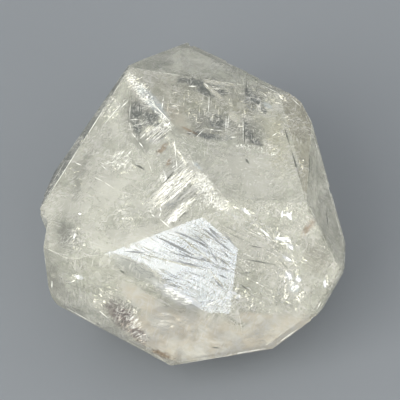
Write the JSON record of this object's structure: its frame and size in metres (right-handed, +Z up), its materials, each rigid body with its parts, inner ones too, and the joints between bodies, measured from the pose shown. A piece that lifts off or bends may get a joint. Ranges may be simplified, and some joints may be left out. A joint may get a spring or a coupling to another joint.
{
  "type": "calcite crystal",
  "caption": "Stout natural calcite crystal with flat many-sided faces, clear to milky inside, with chipped edges and growth steps, standing on a flat under face.",
  "frame": {"origin": "middle of the crystal's outline seen from above, at the level of its flat under face", "axes": "+Z up from the face it stands on, -Y toward the side shown in the picture, +X to the right of that side"},
  "size_m": [0.056, 0.0578, 0.0389],
  "materials": {
    "calcite": "natural crystal faces, glossy, finely grooved, clear to milky"
  },
  "bodies": {
    "root": {"crystal": "calcite"}
  },
  "joints": []
}
